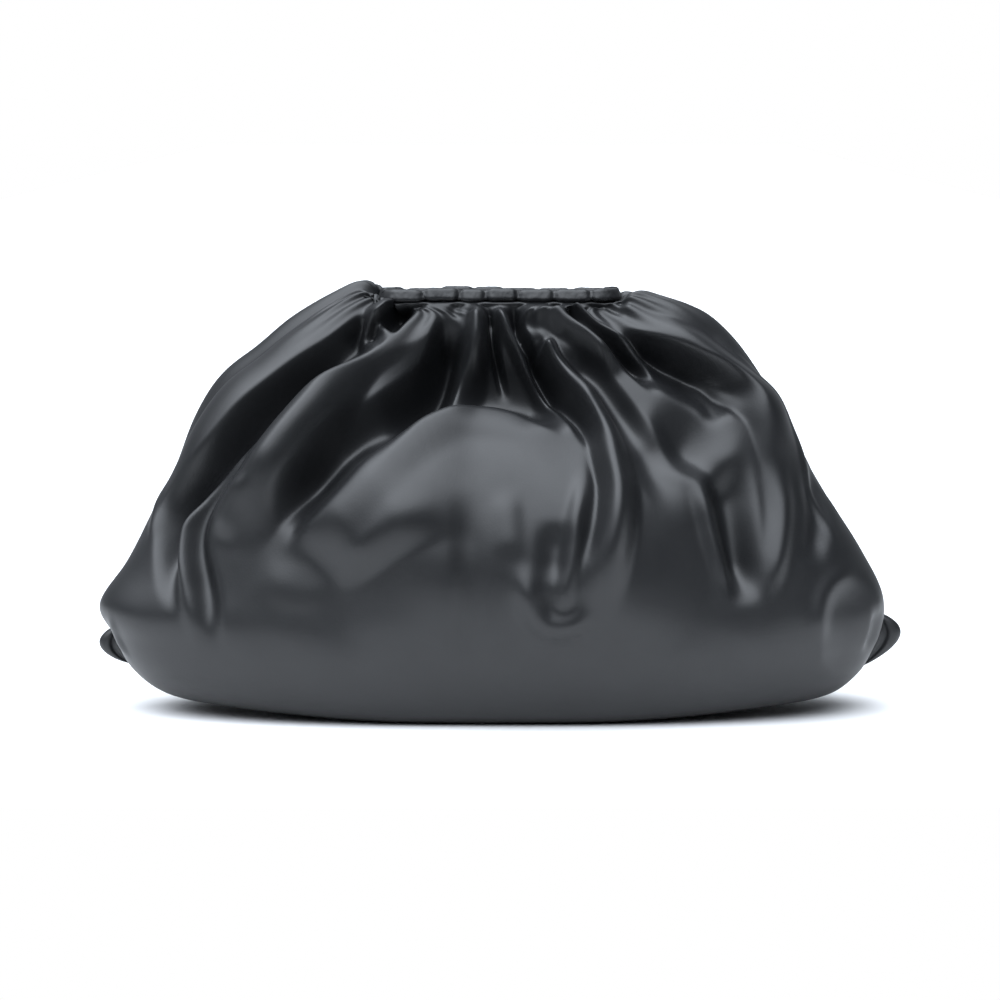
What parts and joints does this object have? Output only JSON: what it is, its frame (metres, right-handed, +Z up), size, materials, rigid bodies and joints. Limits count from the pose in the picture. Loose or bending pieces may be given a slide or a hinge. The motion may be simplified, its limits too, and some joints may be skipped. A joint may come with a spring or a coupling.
{
  "type": "gathered pouch clutch bag",
  "caption": "Soft black leather pouch clutch, closed and standing on its flat base. The mouth is gathered on a hidden looped frame, and pleats run from it into a round belly.",
  "frame": {"origin": "centre of the whole bag's footprint box, on the surface it stands on", "axes": "+X along the mouth, towards the viewer's right; +Z up; the front of the bag faces -Y"},
  "size_m": [0.391, 0.1545, 0.2089],
  "materials": {
    "body_leather": "smooth soft black nappa leather with a low sheen",
    "casing_leather": "the same leather, ruched tightly over the frame",
    "frame_steel": "plain brushed bar, hidden inside the casings"
  },
  "bodies": {
    "root": {"front_panel": "body_leather", "back_panel": "body_leather", "left_corner_ear": "body_leather", "right_corner_ear": "body_leather", "front_casing": "casing_leather", "back_casing": "casing_leather", "closing_frame": "frame_steel"}
  },
  "joints": []
}
